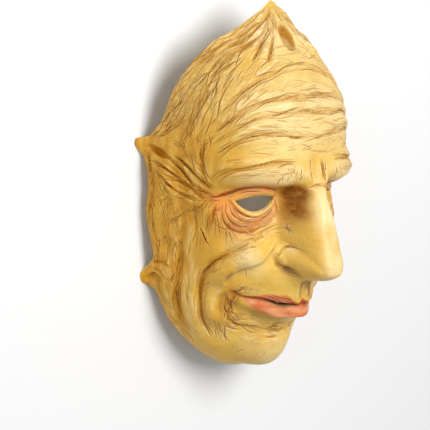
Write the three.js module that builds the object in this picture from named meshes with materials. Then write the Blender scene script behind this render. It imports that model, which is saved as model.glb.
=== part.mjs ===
// A slush-cast latex half mask of a wrinkled monster face, lying face up on its rim.
// Sizes are millimetres. The face is shaped in a frame of its own: X across, Y toward the crest,
// Z forward out of the face, zero between the brows. Every place on it is given on a flat map of
// the head, u across and v up, wrapped around the middle of the head as a radial distance.

import * as THREE from 'three';

// Driving dimensions
const WALL = 2.6;
const HALF_WIDTH = 79;
const SQUARENESS = 2.2;
const HEAD = new THREE.Vector3(0, -25, -120);
const MAP_RADIUS = 120;
const LYING_TILT = THREE.MathUtils.degToRad(9.5);
const REST_DEPTH = 101.6;
const STEEPEST_WALL = 2.2;

// Mesh spacing on the map: the face, the forehead, and how it opens toward the sides
const FACE_STEP = 3.65;
const FOREHEAD_STEP = 4.9;
const SIDE_START = 55;
const SIDE_GROWTH = 0.085;
const FOREHEAD_START = 60;
const SNAP = 0.12;

// Middle line of the head from crest to chin, without nose and brows: [Y, Z]
const PROFILE = [
  [118, -95], [108, -70], [92, -51], [75, -34], [50, -16], [25, -5], [5, -2], [-20, -9], [-45, -7],
  [-72, -1], [-93, -4], [-113, -15], [-133, -19], [-152, -32], [-162, -55], [-159, -85], [-144, -110],
];

// Rim, one side of the map, as strokes between the points of the crest, temple, jaw and chin.
// The mask lies on the temple and jaw points, which end in short blunt edges
const CREST_POINT = [0, 147];
const TEMPLE_EDGE = [[159, 57], [161, 49]];
const JAW_EDGE = [[113, -102], [107.5, -108]];
const CHIN_POINT = [0, -128];
const RIM = [
  [
    CREST_POINT, [13, 142.5], [35, 138], [58, 131.5], [83, 121], [107, 103], [122, 81], [142, 63],
    TEMPLE_EDGE[0],
  ],
  TEMPLE_EDGE,
  [TEMPLE_EDGE[1], [150, 30], [143, -5], [138, -40], [121, -66], [111, -80], [110, -93], JAW_EDGE[0]],
  JAW_EDGE,
  [JAW_EDGE[1], [101, -111], [92, -109], [82, -114], [66, -122], [40, -125], CHIN_POINT],
];

// Openings: almond eye holes, and a parted mouth, which is open on both sides of its middle along
// the lips. The rows of the mesh bend with the lips within the mouth's reach
const EYE = { u: 40, v: 4, half: 17.8, lift: 4.5, drop: 9.4, slant: -0.12 };
const MOUTH = { v: -66, middle: 13, half: 8.8, gap: 1.6, reach: 16 };

// Nose by height on the map: how far it stands out, its half width and the roundness of its ridge
const NOSE_HEIGHT = [
  [38, 0], [30, 1], [22, 6], [15, 15], [4, 26], [-9, 33], [-19, 38], [-26, 40], [-31, 38], [-35, 31],
  [-39, 20], [-43, 9], [-48, 2], [-54, 0],
];
const NOSE_WIDTH = [[36, 16], [14, 20.5], [0, 23.5], [-15, 24.5], [-28, 22], [-40, 17], [-54, 13]];
const NOSE_RIDGE = [[36, 4], [14, 6], [0, 7], [-15, 8], [-27, 9.5], [-40, 6], [-54, 4]];

// Strokes on the map that the main folds follow
const BROW = [[3, 22], [20, 25], [42, 27], [62, 25], [82, 17]];
const CHEEK_FOLD = [[54, -72], [52, -60], [46, -49], [35, -40], [28, -34], [24, -26]];
const WING_CREASE = [[11, -22], [16, -25.5], [20.5, -29.5], [23, -34.5], [21, -39], [15, -41.5]];
const CHEEK_HOLLOW = [
  [18, -12], [42, -26], [60, -44], [66, -57], [66, -72], [60, -90], [50, -101], [40, -107],
];
const JAW_VALLEY = [[98, -53], [90, -63], [86, -75], [79, -93], [73, -101], [62, -111], [48, -113]];
const JAW_RIDGE = [[80, -58], [75, -70], [70, -82], [62, -93], [52, -101]];
const CHIN_CREASE = [[33, -95], [24, -93], [12, -89.5], [0, -88], [-12, -89.5]];
const LIP_LINE = [[42.5, -69.6], [37, -69.4], [30, -68.4], [22, -66.8], [14, -64.4], [7, -62], [0, -60.8]];
const LID_FOLD = [[78, 1.5], [64, 8], [55, 13], [47, 15.5], [37.5, 16], [28, 14.5], [21, 10]];
const LID_EDGE = [[60, 2], [55.5, -4], [47, -7.2], [38, -6.8], [29, -2.2], [22.5, 4]];
const BAG_EDGE = [[69, 0], [66.5, -15], [58, -22], [47, -20.8], [33, -16], [20, -4]];
const FURROWS = [
  [[79, 15], [73.5, 24], [64.5, 29], [55.5, 31], [42.5, 33.5], [29, 35.5], [14, 34.5]],
  [[76, 41], [52, 54], [30, 55], [14, 53], [0, 52]],
  [[80, 48], [49, 66], [25, 68], [10, 69], [0, 69]],
  [[78, 57], [51, 73], [25, 79], [0, 80]],
  [[74, 70], [52, 86], [26, 97], [0, 101]],
];
const TEMPLE_FOLDS = [
  [[141, 33], [127, 24.5], [113.5, 16], [99.5, 9], [90, 5], [78, 2]],
  [[128, 41], [119, 35], [105.5, 22.5], [95, 11.5], [84.5, 6], [74, 3]],
  [[114, 41], [105, 33], [93.5, 22], [83, 14], [74, 8]],
  [[128, 17], [119, 13.5], [104.5, 9.5], [92, 3], [80, 0]],
  [[139, 22.5], [128, 12.5], [116, 2], [100.5, -2.5], [84, -4]],
];
const CREST_FOLDS = [
  [[3, 142], [8, 138.5], [21, 133], [37, 128], [52, 123]],
  [[5, 137], [17, 129], [32.5, 123], [50, 117]],
  [[7, 133], [19, 123.5], [28, 116], [38, 107]],
  [[8, 129], [17, 117], [26, 104]],
];

const { abs, cos, exp, hypot, max, min, PI, sin, sqrt, atan2 } = Math;
const clamp = THREE.MathUtils.clamp;
const smooth = (x) => THREE.MathUtils.smoothstep(x, 0, 1);
const bell = (x) => exp(-x * x);

// A smooth curve through points, as a function of their first number
function curve(points) {
  const p = [...points].sort((a, b) => a[0] - b[0]);
  const last = p.length - 1;
  const gap = (i) => p[i + 1][0] - p[i][0];
  const slope = (i) => (p[i + 1][1] - p[i][1]) / gap(i);
  const tangent = p.map((_, i) => {
    if (i === 0) return slope(0);
    if (i === last) return slope(last - 1);
    return (slope(i - 1) * gap(i) + slope(i) * gap(i - 1)) / (gap(i - 1) + gap(i));
  });
  return (x) => {
    const t = clamp(x, p[0][0], p[last][0]);
    let i = 0;
    while (i < last - 1 && t > p[i + 1][0]) i += 1;
    const w = (t - p[i][0]) / gap(i);
    const start = (1 + 2 * w) * (1 - w) ** 2 * p[i][1] + w * (1 - w) ** 2 * gap(i) * tangent[i];
    const end = w * w * (3 - 2 * w) * p[i + 1][1] + w * w * (w - 1) * gap(i) * tangent[i + 1];
    return start + end;
  };
}

// A stroke on the map: the points of a smooth line with the length run so far
function stroke(points, steps = 24) {
  const line = new THREE.SplineCurve(points.map(([u, v]) => new THREE.Vector2(u, v))).getPoints(steps);
  const run = [0];
  for (let i = 1; i < line.length; i += 1) run.push(run[i - 1] + line[i].distanceTo(line[i - 1]));
  return { line, run };
}

// Where a place lies beside a stroke: distance, positive on its left, and share of its length
function beside({ line, run }, u, v) {
  let best = { far: Infinity, side: 0, share: 0 };
  for (let i = 0; i < line.length - 1; i += 1) {
    const a = line[i];
    const b = line[i + 1];
    const length = run[i + 1] - run[i];
    const su = (b.x - a.x) / length;
    const sv = (b.y - a.y) / length;
    const t = clamp((u - a.x) * su + (v - a.y) * sv, 0, length);
    const eu = u - a.x - t * su;
    const ev = v - a.y - t * sv;
    const far = hypot(eu, ev);
    if (far < best.far) {
      const left = su * ev - sv * eu >= 0;
      best = { far, side: left ? far : -far, share: (run[i] + t) / run.at(-1) };
    }
  }
  return best;
}

// Height of a round swelling of 1 at its middle, of radii ru and rv, turned by degrees
function swelling(u, v, [cu, cv], [ru, rv], turn = 0) {
  const c = cos((turn * PI) / 180);
  const s = sin((turn * PI) / 180);
  const x = (c * (u - cu) + s * (v - cv)) / ru;
  const y = (c * (v - cv) - s * (u - cu)) / rv;
  return max(0, 1 - x * x - y * y) ** 2;
}

// A groove along a stroke, with raised lips beside it, that fades at both ends
function groove({ path, width, depth, lip = 0, fade = 0.22 }, u, v) {
  const { side, share } = beside(path, u, v);
  const x = side / width;
  const ends = smooth(share / fade) * smooth((1 - share) / fade);
  return ends * (lip * bell((abs(x) - 1.9) / 1.1) - depth * bell(x));
}

const profileRadius = curve(
  PROFILE.map(([y, z]) => [atan2(y - HEAD.y, z - HEAD.z), hypot(y - HEAD.y, z - HEAD.z)]),
);
const noseHeight = curve(NOSE_HEIGHT);
const noseWidth = curve(NOSE_WIDTH);
const noseRidge = curve(NOSE_RIDGE);
const lipLevel = curve(LIP_LINE);
const brow = stroke(BROW);
const cheekFold = stroke(CHEEK_FOLD);
const lipLine = stroke(LIP_LINE);
const wingCrease = { path: stroke(WING_CREASE), width: 1.8, depth: 2.8, lip: 0.3, fade: 0.15 };

// Direction from the middle of the head to a place on the map
function direction(u, v) {
  const far = hypot(u, v);
  const k = far > 1e-9 ? sin(far / MAP_RADIUS) / far : 1 / MAP_RADIUS;
  return new THREE.Vector3(k * u, k * v, cos(far / MAP_RADIUS));
}

// Radial distance of the plain head, a squared oval between its middle line and its sides
function headRadius(u, v) {
  const d = direction(u, v);
  const upright = hypot(d.y, d.z) / profileRadius(atan2(d.y, d.z));
  const sideways = abs(d.x) / HALF_WIDTH;
  return (upright ** SQUARENESS + sideways ** SQUARENESS) ** (-1 / SQUARENESS);
}

function browRidge(a, v) {
  const { side, share } = beside(brow, a, v);
  const across = side >= 0 ? bell(side / 12) : exp(-((side / 9.5) ** 4));
  const along = (3.5 + 5.5 * sin(PI * min(share * 1.05, 1))) * smooth(share / 0.12 + 0.3);
  return across * along * smooth((1 - share) / 0.3);
}

function eyeForms(a, v) {
  const socket = -8 * swelling(a, v, [38, 3], [34, 19]);
  const lids = 7 * swelling(a, v, [42, 1], [25, 17]);
  const innerCorner = -7 * swelling(a, v, [15, 8], [14, 19]);
  return socket + lids + innerCorner;
}

function cheeks(a, v) {
  const bone = 3.5 * swelling(a, v, [62, -16], [40, 20], 20);
  const apple = 3 * swelling(a, v, [38, -36], [26, 18], 35);
  const hollow = -5 * swelling(a, v, [92, -48], [30, 44]);
  const temple = -4 * swelling(a, v, [100, 22], [30, 26]);
  const forehead = 6 * swelling(a, v, [56, 74], [46, 50]) - 6.5 * swelling(a, v, [34, 133], [28, 20]);
  return bone + apple + hollow + temple + forehead;
}

// The fold from the wing of the nose to the corner of the mouth: the cheek steps over the muzzle
function cheekOverlap(a, v) {
  const { side, share } = beside(cheekFold, a, v);
  const ends = smooth(share / 0.3) * smooth((1 - share) / 0.25);
  const rise = 1 / (1 + exp(clamp((4 * side) / 5, -30, 30)));
  const fall = side < 0 ? bell(side / 18) : 1;
  return ends * (4.5 * rise * fall - 2 * bell((side - 1.5) / 5));
}

function mouth(a, v) {
  const d = -beside(lipLine, a, v).side;
  const middle = max(0, 1 - (a / 41) ** 2) ** 0.8;
  const upper = 1.8 * bell((d - 3) / 3) + 0.6 * bell((d - 6.4) / 1.6);
  const lower = 6.2 * bell((d + 5.8) / 4.8);
  const parting = -1.6 * smooth((45 - a) / 10) * bell(d / 1.7);
  const corner = -3 * swelling(a, v, [42.5, -69.5], [6, 5.5]) - 2 * swelling(a, v, [52, -57], [4, 9]);
  const muzzle = 9.5 * swelling(a, v, [0, -60], [25, 34]) - 3 * swelling(a, v, [27, -84], [19, 40]);
  const channel = -3 * swelling(a, v, [0, -54], [3.4, 10]) + 1.6 * swelling(a, v, [4.8, -55], [3, 11]);
  const pout = 2.5 * swelling(a, v, [16, -74], [13, 7]);
  return middle * (upper + lower) + parting + corner + muzzle + channel + pout;
}

function chin(a, v) {
  const ball = 9.5 * swelling(a, v, [0, -101], [27, 23]);
  const hollow = -2.6 * swelling(a, v, [0, -83], [28, 10]) - 3.5 * swelling(a, v, [42, -101], [15, 12]);
  return ball + hollow - 2 * swelling(a, v, [28, -95], [10, 8]);
}

function nose(a, v) {
  const width = noseWidth(v);
  const ridge = noseRidge(v);
  const out = (hypot(a, ridge) - ridge) / (hypot(width, ridge) - ridge);
  const bridge = noseHeight(v) * cos((PI / 2) * clamp(out, 0, 1)) ** 2.6;
  const wing = 10 * swelling(a, v, [16.5, -32.5], [10, 9]) ** 0.6;
  const bulb = 2.2 * swelling(a, v, [6, -26], [9, 9]) - 1.5 * swelling(a, v, [14, -24], [5, 8]);
  const nostril = -4 * swelling(a, v, [10, -41], [7, 5]);
  return bridge + wing + groove(wingCrease, a, v) + bulb + nostril;
}

// Points of the rim turn outward, each with a pinched dent behind it
function rimPoints(a, v) {
  const dropWidth = 3.4 + 0.15 * clamp(137 - v, 0, 20);
  const crestDent = 7 * swelling(a, v, [0, 124.5], [dropWidth, 12]) ** 0.5;
  const templeDent = 5.5 * swelling(a, v, [132, 43], [15, 6], 27) ** 0.6;
  const jawDent = 5 * swelling(a, v, [99, -98], [9, 5.5], -30) ** 0.7;
  const crest = 4 * swelling(a, v, [0, 149], [14, 14]);
  const temple = 6 * swelling(a, v, [163, 52], [26, 20]);
  const jaw = 7 * swelling(a, v, [112, -106], [20, 16]);
  return crest - crestDent + temple - templeDent + jaw - jawDent;
}

// Wrinkles, all on one side and mirrored
const hollowOfCheek = { path: stroke(CHEEK_HOLLOW), width: 3.2, depth: 3.2, lip: 1.3, fade: 0.2 };

function foreheadFurrows() {
  return FURROWS.map((line) => ({ path: stroke(line), width: 2.8, depth: 1.4, lip: 0.9, fade: 0.25 }));
}

function frownLines() {
  return [
    { path: stroke([[5.4, 36], [5.8, 28], [4.4, 20]]), width: 1.8, depth: 1.2, lip: 0.5 },
    { path: stroke([[10, 17], [0, 19], [-10, 17]]), width: 1.8, depth: 1.6, lip: 0.5 },
  ];
}

// Bags below the eye, from the edge of the lid outward
function eyeBags() {
  const between = (k, i, t) => LID_EDGE[i][k] + t * (BAG_EDGE[i][k] - LID_EDGE[i][k]);
  return [0.1, 0.5, 0.94].map((t) => ({
    path: stroke(LID_EDGE.map((_, i) => [between(0, i, t), between(1, i, t)])),
    width: 1.9, depth: 1.4, lip: 0.8, fade: 0.3,
  }));
}

function lidFold() {
  return [{ path: stroke(LID_FOLD), width: 1.8, depth: 1.8, lip: 0.6 }];
}

function templeFolds() {
  return [
    ...TEMPLE_FOLDS.map((line) => ({ path: stroke(line), width: 2.2, depth: 1.4, lip: 0.8 })),
    { path: stroke([[87, 50], [87.5, 40], [87, 30], [84, 18]]), width: 3, depth: 1.4, lip: 0.6, fade: 0.3 },
  ];
}

function crestFolds() {
  return CREST_FOLDS.map((line) => ({ path: stroke(line), width: 2.6, depth: 1.6, lip: 1, fade: 0.2 }));
}

function jawFolds() {
  return [
    { path: stroke(JAW_VALLEY), width: 4, depth: 1.8, lip: 0.9, fade: 0.25 },
    { path: stroke([[98, -24], [94, -42], [91, -60]]), width: 3, depth: 1.2, lip: 0.8, fade: 0.3 },
    { path: stroke(JAW_RIDGE), width: 2.8, depth: -1.3, fade: 0.3 },
  ];
}

function chinCreases() {
  return [
    { path: stroke(CHIN_CREASE), width: 2.4, depth: 1, lip: 0.6 },
    { path: stroke([[47, -70], [49, -79], [46, -89]]), width: 2.4, depth: 1.2, lip: 0.6, fade: 0.25 },
  ];
}

const wrinkles = [
  ...foreheadFurrows(),
  ...frownLines(),
  ...eyeBags(),
  ...lidFold(),
  ...templeFolds(),
  ...crestFolds(),
  ...jawFolds(),
  ...chinCreases(),
];

// Radial distance of the forms that both faces of the wall follow
function formRadius(u, v) {
  const a = abs(u);
  const relief = browRidge(a, v) + eyeForms(a, v) + cheeks(a, v) + cheekOverlap(a, v) + mouth(a, v)
    + chin(a, v) + nose(a, v) + rimPoints(a, v) + groove(hollowOfCheek, a, v);
  return headRadius(u, v) + relief;
}

// Radial distance of the outside, which has the wrinkles too
function outsideRadius(u, v) {
  return wrinkles.reduce((radius, wrinkle) => radius + groove(wrinkle, abs(u), v), formRadius(u, v));
}

// Radial distance of the inside, a wall's thickness in, measured square to the surface
function insideRadius(u, v) {
  const h = 1;
  const radius = formRadius(u, v);
  const alongU = (formRadius(u + h, v) - formRadius(u - h, v)) / (2 * h);
  const alongV = (formRadius(u, v + h) - formRadius(u, v - h)) / (2 * h);
  const slope = (hypot(alongU, alongV) * MAP_RADIUS) / radius;
  return radius - WALL * min(sqrt(1 + slope * slope), STEEPEST_WALL);
}

// How far a place is inside the latex, negative beyond the rim or in an opening
const rimStrokes = RIM.map((points) => stroke(points, 32));

function rimMargin(u, v) {
  const a = abs(u);
  const near = rimStrokes.map((path) => beside(path, a, v)).sort((p, q) => p.far - q.far);
  const atCorner = near[1].far - near[0].far < 1e-6;
  const outside = near[0].side > 0 || (atCorner && near[1].side > 0);
  return outside ? -near[0].far : near[0].far;
}

function eyeMargin(u, v) {
  const x = (abs(u) - EYE.u) / EYE.half;
  const arch = 1 - x * x;
  const rise = v - EYE.v - EYE.slant * (abs(u) - EYE.u);
  return max(rise - EYE.lift * arch, -rise - EYE.drop * arch);
}

function mouthMargin(u, v) {
  const x = (abs(u) - MOUTH.middle) / MOUTH.half;
  return abs(v - lipLevel(abs(u))) - MOUTH.gap * (1 - x * x);
}

function margin(u, v) {
  return min(rimMargin(u, v), eyeMargin(u, v), mouthMargin(u, v));
}

// Lines of the grid from one place outward
function lines(from, to, step) {
  const list = [];
  for (let x = from; abs(x - from) < abs(to - from); x += Math.sign(to - from) * step(x)) list.push(x);
  return list;
}

const sideStep = (u) => FACE_STEP + SIDE_GROWTH * max(0, u - SIDE_START);
const columns = lines(0, TEMPLE_EDGE[1][0] + FACE_STEP, sideStep);
const riseStep = (v) => (v < FOREHEAD_START ? FACE_STEP : FOREHEAD_STEP);
const rowsUp = lines(MOUTH.v, CREST_POINT[1] + FACE_STEP, riseStep);
const rowsDown = lines(MOUTH.v, CHIN_POINT[1] - FACE_STEP, riseStep);

// Every share-th grid line, so that all sheets have the lines through the nose and the mouth
function gridOf(share) {
  const keep = (list) => list.filter((_, i) => i % share === 0);
  const right = keep(columns);
  const us = [...right.slice(1).reverse().map((u) => -u), ...right];
  const vs = [...keep(rowsDown).slice(1).reverse(), ...keep(rowsUp)];
  return { us, vs };
}

// Where a row of the grid runs: it bends with the lips, so that one row goes along the mouth
function bent(u, v) {
  return v + (lipLevel(abs(u)) - MOUTH.v) * bell((v - MOUTH.v) / MOUTH.reach);
}

// One sheet of triangles on the map, trimmed where the margin runs out
function sheet({ us, vs }) {
  const places = [];
  const add = (u, v, m = margin(u, v)) => places.push({ u, v, m }) - 1;
  const id = vs.map((v) => us.map((u) => add(u, bent(u, v))));
  const crossing = (p, q) => {
    let low = 0;
    let high = 1;
    for (let i = 0; i < 18; i += 1) {
      const t = (low + high) / 2;
      if (margin(p.u + t * (q.u - p.u), p.v + t * (q.v - p.v)) > 0 === p.m > 0) low = t;
      else high = t;
    }
    return low;
  };

  const cells = [];
  for (let j = 0; j < vs.length - 1; j += 1) {
    for (let i = 0; i < us.length - 1; i += 1) {
      const corners = [id[j][i], id[j][i + 1], id[j + 1][i + 1], id[j + 1][i]];
      const turn = (us[i] + us[i + 1] > 0) === (vs[j] + vs[j + 1] > 2 * EYE.v) ? 1 : 0;
      const c = turn ? [corners[1], corners[2], corners[3], corners[0]] : corners;
      cells.push([c[0], c[1], c[2]], [c[0], c[2], c[3]]);
    }
  }

  // Grid points close to the edge move onto it, so that no sliver is cut
  const moves = new Map();
  for (const cell of cells) {
    for (let k = 0; k < 3; k += 1) {
      const [a, b] = [cell[k], cell[(k + 1) % 3]];
      if (places[a].m > 0 !== places[b].m > 0) {
        const t = crossing(places[a], places[b]);
        const [mover, share] = t < 0.5 ? [a, t] : [b, 1 - t];
        const other = mover === a ? b : a;
        if (share < SNAP && !(moves.get(mover)?.share < share)) moves.set(mover, { share, other });
      }
    }
  }
  const from = places.map((p) => ({ ...p }));
  for (const [mover, { share, other }] of moves) {
    const [p, q] = [from[mover], from[other]];
    places[mover] = { u: p.u + share * (q.u - p.u), v: p.v + share * (q.v - p.v), m: 0 };
  }

  const cuts = new Map();
  const cut = (a, b) => {
    const key = a < b ? `${a}_${b}` : `${b}_${a}`;
    if (!cuts.has(key)) {
      const [p, q] = [places[a], places[b]];
      const t = clamp(crossing(p, q), SNAP / 2, 1 - SNAP / 2);
      cuts.set(key, add(p.u + t * (q.u - p.u), p.v + t * (q.v - p.v), 0));
    }
    return cuts.get(key);
  };

  const triangles = [];
  for (const cell of cells) {
    if (!cell.some((k) => places[k].m > 0)) continue;
    const kept = [];
    for (let k = 0; k < 3; k += 1) {
      const [a, b] = [cell[k], cell[(k + 1) % 3]];
      if (places[a].m >= 0) kept.push(a);
      if (places[a].m * places[b].m < 0) kept.push(cut(a, b));
    }
    for (let k = 1; k < kept.length - 1; k += 1) triangles.push([kept[0], kept[k], kept[k + 1]]);
  }
  return { places, triangles };
}

// Closed loops of the edges that only one triangle has, in the triangles' own direction
function loops(triangles) {
  const next = new Map();
  const seen = new Set(triangles.flatMap(([a, b, c]) => [`${a}_${b}`, `${b}_${c}`, `${c}_${a}`]));
  for (const [a, b, c] of triangles) {
    for (const [p, q] of [[a, b], [b, c], [c, a]]) if (!seen.has(`${q}_${p}`)) next.set(p, q);
  }
  const found = [];
  while (next.size > 0) {
    const loop = [];
    let at = next.keys().next().value;
    while (next.has(at)) {
      loop.push(at);
      const to = next.get(at);
      next.delete(at);
      at = to;
    }
    found.push(loop);
  }
  return found;
}

// The nearest edge point of a sheet moves onto each corner of the rim
function sharpen({ places }, edge) {
  const free = new Set(edge);
  for (const [u, v] of [CREST_POINT, ...TEMPLE_EDGE, ...JAW_EDGE]) {
    for (const side of u > 0 ? [-1, 1] : [1]) {
      const away = (k) => hypot(places[k].u - side * u, places[k].v - v);
      const nearest = [...free].reduce((best, k) => (away(k) < away(best) ? k : best));
      Object.assign(places[nearest], { u: side * u, v });
      free.delete(nearest);
    }
  }
}

// Where a point of the face frame lies when the mask rests on the four points of its rim
const layDown = new THREE.Matrix4().makeRotationX(LYING_TILT);

function pointAt({ u, v }, radiusAt) {
  const point = direction(u, v).multiplyScalar(radiusAt(u, v)).add(HEAD).applyMatrix4(layDown);
  point.z = max(point.z + REST_DEPTH, 0);
  return point;
}

// A band of triangles between an edge of the outside and the same edge of the inside, paired on the map
function band(outer, inner, places) {
  const distance = (a, b) => hypot(places[a].u - places[b].u, places[a].v - places[b].v);
  const nearer = (best, k, i) => (distance(outer[0], k) < distance(outer[0], inner[best]) ? i : best);
  const start = inner.reduce(nearer, 0);
  const turned = [...inner.slice(start), ...inner.slice(0, start)];
  const triangles = [];
  let [i, j] = [0, 0];
  while (i < outer.length || j < turned.length) {
    const a = outer[i % outer.length];
    const b = turned[j % turned.length];
    const nextA = outer[(i + 1) % outer.length];
    const nextB = turned[(j + 1) % turned.length];
    if (j >= turned.length || (i < outer.length && distance(nextA, b) <= distance(a, nextB))) {
      triangles.push([nextA, a, b]);
      i += 1;
    } else {
      triangles.push([b, nextB, a]);
      j += 1;
    }
  }
  return triangles;
}

// The shell: the outside, the coarser inside, and bands around the rim and the openings
function shellGeometry() {
  const outside = sheet(gridOf(1));
  const inside = sheet(gridOf(2));
  const outerLoops = loops(outside.triangles).sort((p, q) => q.length - p.length);
  const innerLoops = loops(inside.triangles).sort((p, q) => q.length - p.length);
  sharpen(outside, outerLoops[0]);
  sharpen(inside, innerLoops[0]);

  const places = [...outside.places, ...inside.places];
  const offset = outside.places.length;
  const points = places.map((place, k) => pointAt(place, k < offset ? outsideRadius : insideRadius));
  const shifted = innerLoops.map((loop) => loop.map((k) => k + offset));
  const mean = (loop, key) => loop.reduce((sum, k) => sum + places[k][key], 0) / loop.length;
  const apart = (p, q) => hypot(mean(p, 'u') - mean(q, 'u'), mean(p, 'v') - mean(q, 'v'));

  const triangles = [...outside.triangles];
  for (const [a, b, c] of inside.triangles) triangles.push([a + offset, c + offset, b + offset]);
  for (const loop of outerLoops) {
    const choice = loop === outerLoops[0] ? shifted.slice(0, 1) : shifted.slice(1);
    const partner = choice.reduce((p, q) => (apart(loop, q) < apart(loop, p) ? q : p));
    triangles.push(...band(loop, partner, places));
  }

  const used = [...new Set(triangles.flat())];
  const newIndex = new Map(used.map((k, i) => [k, i]));
  const geometry = new THREE.BufferGeometry();
  const positions = used.flatMap((k) => points[k].toArray());
  geometry.setAttribute('position', new THREE.Float32BufferAttribute(positions, 3));
  geometry.setIndex(triangles.flatMap((t) => t.map((k) => newIndex.get(k))));
  geometry.computeVertexNormals();
  return geometry;
}

function latexMask() {
  const geometry = shellGeometry();
  geometry.computeBoundingBox();
  const box = geometry.boundingBox;
  geometry.translate(-(box.min.x + box.max.x) / 2, -(box.min.y + box.max.y) / 2, 0);
  const material = new THREE.MeshStandardMaterial({ color: 0xdeb862, roughness: 0.5, metalness: 0 });
  const mesh = new THREE.Mesh(geometry, material);
  mesh.name = 'latex_mask';
  return mesh;
}

const model = new THREE.Group();
model.add(latexMask());

export default model;
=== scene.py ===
"""A slush-cast latex monster mask, lying face up on the points of its rim."""
import math

import bpy
import numpy as np
from mathutils import Matrix, Vector, noise


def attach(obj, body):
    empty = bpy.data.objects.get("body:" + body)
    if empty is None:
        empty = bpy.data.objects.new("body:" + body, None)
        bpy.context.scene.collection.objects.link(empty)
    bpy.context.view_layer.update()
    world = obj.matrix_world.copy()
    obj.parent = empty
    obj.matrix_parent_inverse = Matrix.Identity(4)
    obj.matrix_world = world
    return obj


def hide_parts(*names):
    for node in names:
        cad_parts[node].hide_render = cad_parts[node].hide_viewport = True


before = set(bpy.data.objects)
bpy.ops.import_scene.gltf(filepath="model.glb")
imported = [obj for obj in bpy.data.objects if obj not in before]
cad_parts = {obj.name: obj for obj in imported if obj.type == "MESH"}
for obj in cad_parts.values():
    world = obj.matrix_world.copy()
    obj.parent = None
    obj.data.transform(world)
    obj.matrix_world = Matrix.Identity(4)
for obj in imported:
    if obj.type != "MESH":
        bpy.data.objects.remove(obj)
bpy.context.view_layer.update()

# The shell, in millimetres, in the face's own frame: X across, Y toward the crest, Z forward.
# Places on it are given on a flat map of the head, u across and v up, as in the part's source.
MM = 0.001
WALL = 2.6
HALF_WIDTH = 79
SQUARENESS = 2.2
HEAD = np.array([0.0, -25.0, -120.0])
MAP_RADIUS = 120
LYING_TILT = math.radians(9.5)
REST_DEPTH = 101.6
STEEPEST_WALL = 2.2
CREASE_ANGLE = math.radians(68)
SEED = 11

# Mesh spacing on the map
FACE_STEP = 0.86
SIDE_START = 60
SIDE_GROWTH = 0.006
INSIDE_SHARE = 3
SNAP = 0.2

PROFILE = [
    (118, -95), (108, -70), (92, -51), (75, -34), (50, -16), (25, -5), (5, -2), (-20, -9), (-45, -7),
    (-72, -1), (-93, -4), (-113, -15), (-133, -19), (-152, -32), (-162, -55), (-159, -85), (-144, -110),
]

CREST_POINT = (0, 147)
TEMPLE_EDGE = [(159, 57), (161, 49)]
JAW_EDGE = [(113, -102), (107.5, -108)]
CHIN_POINT = (0, -128)
RIM = [
    [
        CREST_POINT, (13, 142.5), (35, 138), (58, 131.5), (83, 121), (107, 103), (122, 81), (142, 63),
        TEMPLE_EDGE[0],
    ],
    TEMPLE_EDGE,
    [TEMPLE_EDGE[1], (150, 30), (143, -5), (138, -40), (121, -66), (111, -80), (110, -93), JAW_EDGE[0]],
    JAW_EDGE,
    [JAW_EDGE[1], (101, -111), (92, -109), (82, -114), (66, -122), (40, -125), CHIN_POINT],
]

EYE = {"u": 40, "v": 4, "half": 17.8, "lift": 4.5, "drop": 9.4, "slant": -0.12}
MOUTH = {"v": -66, "middle": 13, "half": 8.8, "gap": 1.6, "reach": 16}

NOSE_HEIGHT = [
    (38, 0), (30, 1), (22, 6), (15, 15), (4, 26), (-9, 33), (-19, 38), (-26, 40), (-31, 38), (-35, 31),
    (-39, 20), (-43, 9), (-48, 2), (-54, 0),
]
NOSE_WIDTH = [(36, 16), (14, 20.5), (0, 23.5), (-15, 24.5), (-28, 22), (-40, 17), (-54, 13)]
NOSE_RIDGE = [(36, 4), (14, 6), (0, 7), (-15, 8), (-27, 9.5), (-40, 6), (-54, 4)]

BROW = [(3, 22), (20, 25), (42, 27), (62, 25), (82, 17)]
CHEEK_FOLD = [(54, -72), (52, -60), (46, -49), (35, -40), (28, -34), (24, -26)]
WING_CREASE = [(11, -22), (16, -25.5), (20.5, -29.5), (23, -34.5), (21, -39), (15, -41.5)]
CHEEK_HOLLOW = [(18, -12), (42, -26), (60, -44), (66, -57), (66, -72), (60, -90), (50, -101), (40, -107)]
JAW_VALLEY = [(98, -53), (90, -63), (86, -75), (79, -93), (73, -101), (62, -111), (48, -113)]
LIP_LINE = [(42.5, -69.6), (37, -69.4), (30, -68.4), (22, -66.8), (14, -64.4), (7, -62), (0, -60.8)]
LID_FOLD = [(78, 1.5), (64, 8), (55, 13), (47, 15.5), (37.5, 16), (28, 14.5), (21, 10)]
LID_EDGE = [(60, 2), (55.5, -4), (47, -7.2), (38, -6.8), (29, -2.2), (22.5, 4)]
BAG_EDGE = [(69, 0), (66.5, -15), (58, -22), (47, -20.8), (33, -16), (20, -4)]
TEMPLE_FOLDS = [
    [(141, 33), (127, 24.5), (113.5, 16), (99.5, 9), (90, 5), (78, 2)],
    [(128, 41), (119, 35), (105.5, 22.5), (95, 11.5), (84.5, 6), (74, 3)],
    [(114, 41), (105, 33), (93.5, 22), (83, 14), (74, 8)],
    [(128, 17), (119, 13.5), (104.5, 9.5), (92, 3), (80, 0)],
    [(139, 22.5), (128, 12.5), (116, 2), (100.5, -2.5), (84, -4)],
]
CREST_FOLDS = [
    [(3, 142), (8, 138.5), (21, 133), (37, 128), (52, 123)],
    [(5, 137), (17, 129), (32.5, 123), (50, 117)],
    [(7, 133), (19, 123.5), (28, 116), (38, 107)],
    [(8, 129), (17, 117), (26, 104)],
]
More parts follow.
